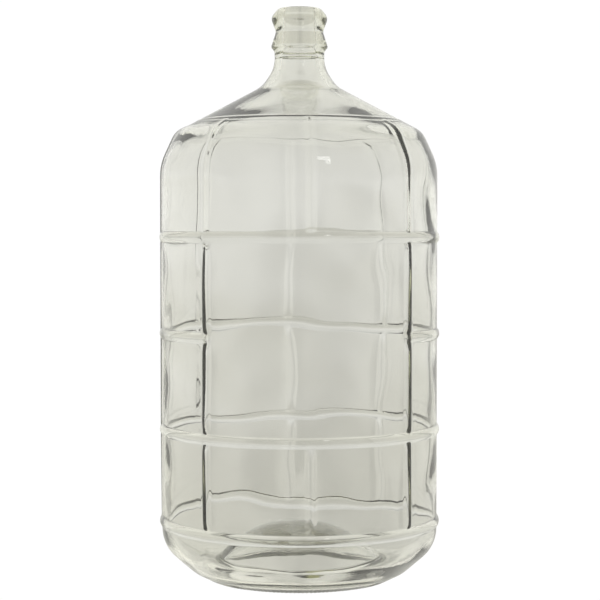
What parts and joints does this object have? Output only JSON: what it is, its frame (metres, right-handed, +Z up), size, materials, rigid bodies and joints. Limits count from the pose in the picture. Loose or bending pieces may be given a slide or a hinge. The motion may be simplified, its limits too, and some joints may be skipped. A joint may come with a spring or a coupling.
{
  "type": "glass carboy",
  "caption": "Tall narrow-necked glass bottle with raised hoops and ribs, for fermenting and storing wine or beer.",
  "frame": {"origin": "centre of the footprint, on the surface that the bottle stands on", "axes": "+Z up along the bottle's axis, -Y towards the middle of the blank label panel"},
  "size_m": [0.2754, 0.2754, 0.559],
  "materials": {
    "clear_glass": "glossy"
  },
  "bodies": {
    "root": {"glass_vessel": "clear_glass"}
  },
  "joints": []
}
